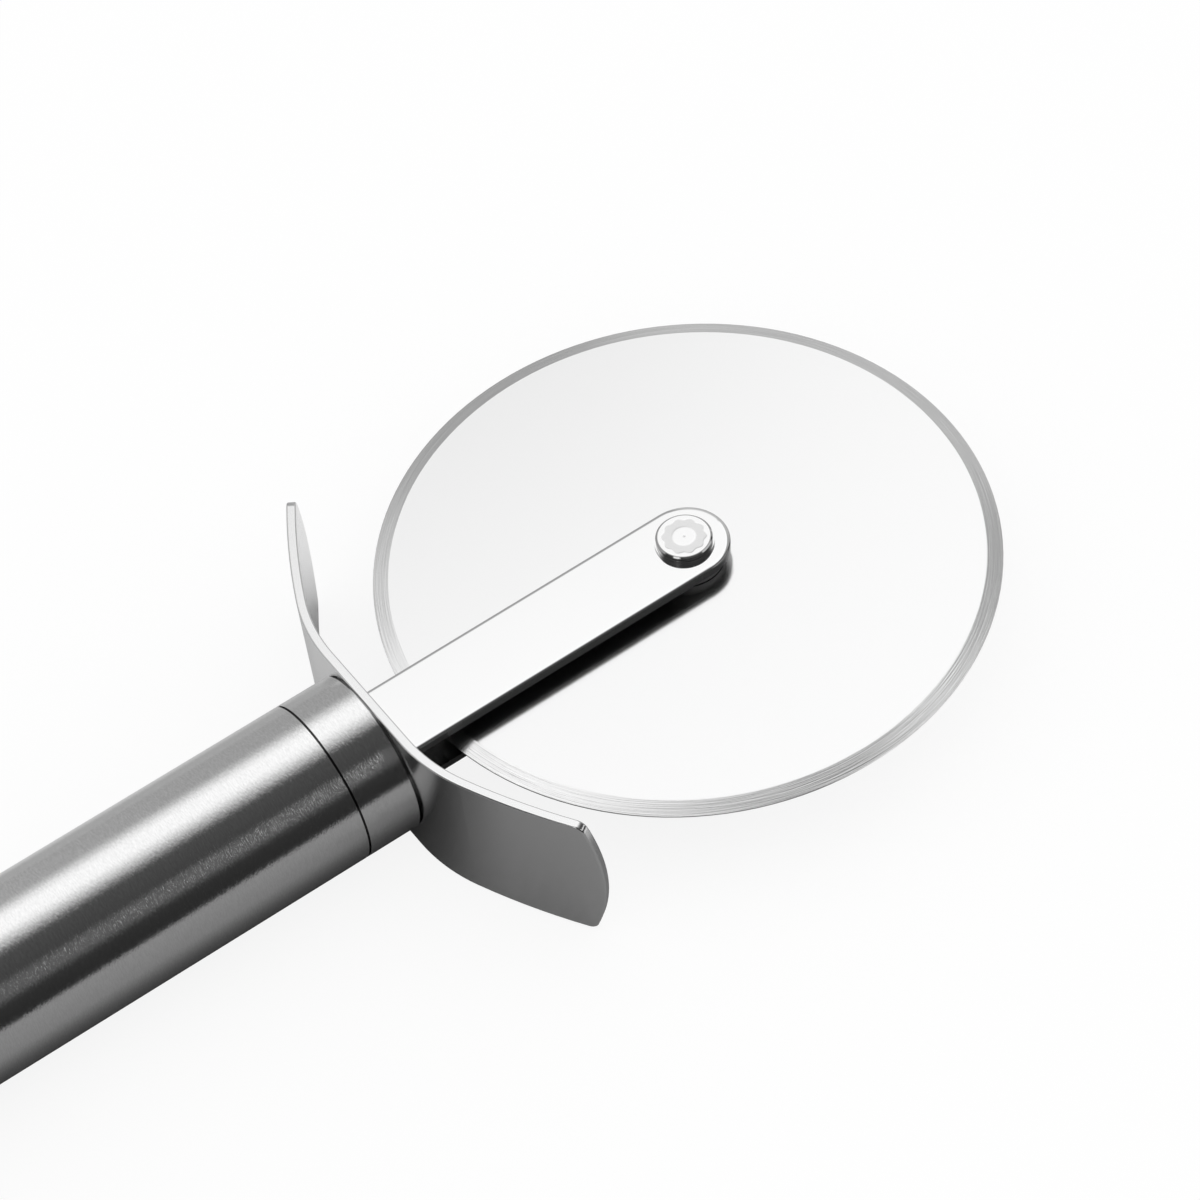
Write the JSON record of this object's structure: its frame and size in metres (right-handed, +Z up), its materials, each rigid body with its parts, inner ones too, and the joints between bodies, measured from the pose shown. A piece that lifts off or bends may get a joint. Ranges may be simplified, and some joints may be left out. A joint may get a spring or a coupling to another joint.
{
  "type": "pizza cutter wheel",
  "caption": "Wheel cutter for pizza: a bevelled steel disc spins on a rivet in a flat fork, behind a swept finger guard on a tubular steel handle.",
  "frame": {"origin": "on the surface that the cutter lies on, under the middle of its length", "axes": "+X along the handle towards the wheel; +Z up, parallel to the wheel's axle; +Y across, to the left when looking along +X"},
  "size_m": [0.2032, 0.075, 0.0202],
  "materials": {
    "blade_steel": "mirror-polished faces with a ground bevel",
    "polished_steel": "mirror polished",
    "satin_steel": "fine satin",
    "brushed_steel": "brushed round the handle",
    "plain_steel": "as turned",
    "bearing_bronze": "sintered bronze",
    "washer_plastic": "plain acetal",
    "seal_rubber": "plain"
  },
  "bodies": {
    "handle_frame": {"axle_sleeve": "plain_steel", "axle_rivet": "polished_steel", "rivet_washer_upper": "polished_steel", "rivet_washer_lower": "polished_steel", "spacer_washer_upper": "washer_plastic", "spacer_washer_lower": "washer_plastic", "fork_arm_upper": "polished_steel", "fork_arm_lower": "polished_steel", "fork_core": "plain_steel", "tang_pins": "plain_steel", "finger_guard": "satin_steel", "front_ferrule": "brushed_steel", "front_seal_ring": "seal_rubber", "handle_tube": "brushed_steel", "rear_seal_ring": "seal_rubber", "end_cap": "brushed_steel", "tie_rod": "plain_steel", "eye_washer": "plain_steel", "hanging_eye": "satin_steel"},
    "wheel": {"cutting_wheel": "blade_steel", "hub_bush": "bearing_bronze"}
  },
  "joints": [
    {"name": "wheel_spin", "type": "hinge", "parent": "handle_frame", "child": "wheel", "pos_m": [0.06413, 0, 0.0101], "axis": [0, 0, 1], "continuous": true}
  ]
}
